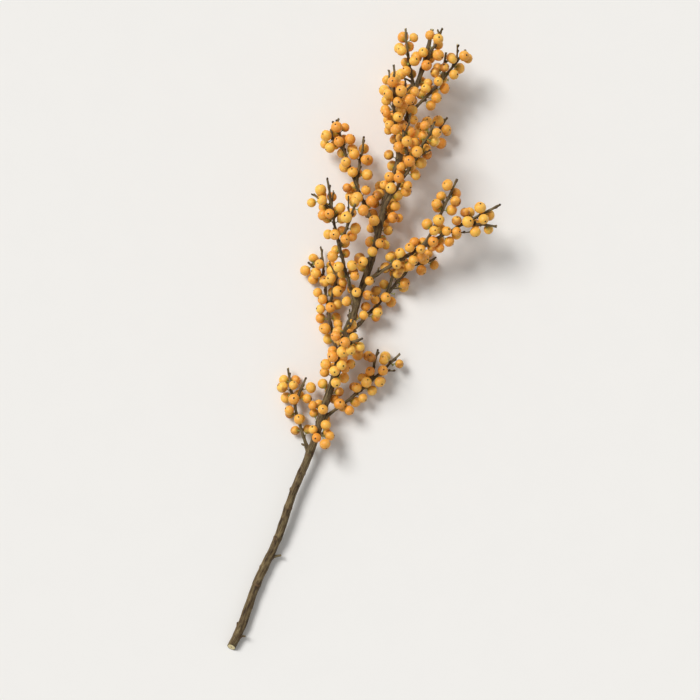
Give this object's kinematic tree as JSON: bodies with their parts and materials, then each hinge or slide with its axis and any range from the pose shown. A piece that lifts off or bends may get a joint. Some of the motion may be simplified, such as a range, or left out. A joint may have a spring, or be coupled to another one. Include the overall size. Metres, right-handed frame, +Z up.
{
  "type": "golden winterberry branch",
  "caption": "Cut, leafless winterberry branch lying on a table: dark forked twigs set with round golden berries on short stalks, bare towards its slanting cut end.",
  "frame": {"origin": "on the table under the middle of the branch's outline, as it lies", "axes": "+Y along the stem from its cut end to its tip, +Z up from the table, +X to the right with the tip ahead"},
  "size_m": [0.2077, 0.7008, 0.0965],
  "materials": {
    "bark": "matte",
    "berry_skin": "satin",
    "young_bark": "satin",
    "berry_stalk": "satin",
    "berry_eye": "matte",
    "cut_wood": "matte"
  },
  "bodies": {
    "root": {"main_stem": "bark", "side_shoot_01": "berry_skin", "side_shoot_02": "berry_skin", "side_shoot_03": "berry_skin", "side_shoot_04": "berry_skin", "side_shoot_05": "berry_skin", "side_shoot_06": "berry_skin", "side_shoot_07": "berry_skin", "side_shoot_08": "berry_skin", "side_shoot_09": "berry_skin", "side_shoot_10": "berry_skin", "side_shoot_11": "berry_skin", "side_shoot_12": "berry_skin", "side_shoot_13": "berry_skin", "side_shoot_14": "berry_skin", "side_shoot_15": "berry_skin", "side_shoot_16": "berry_skin"}
  },
  "joints": []
}
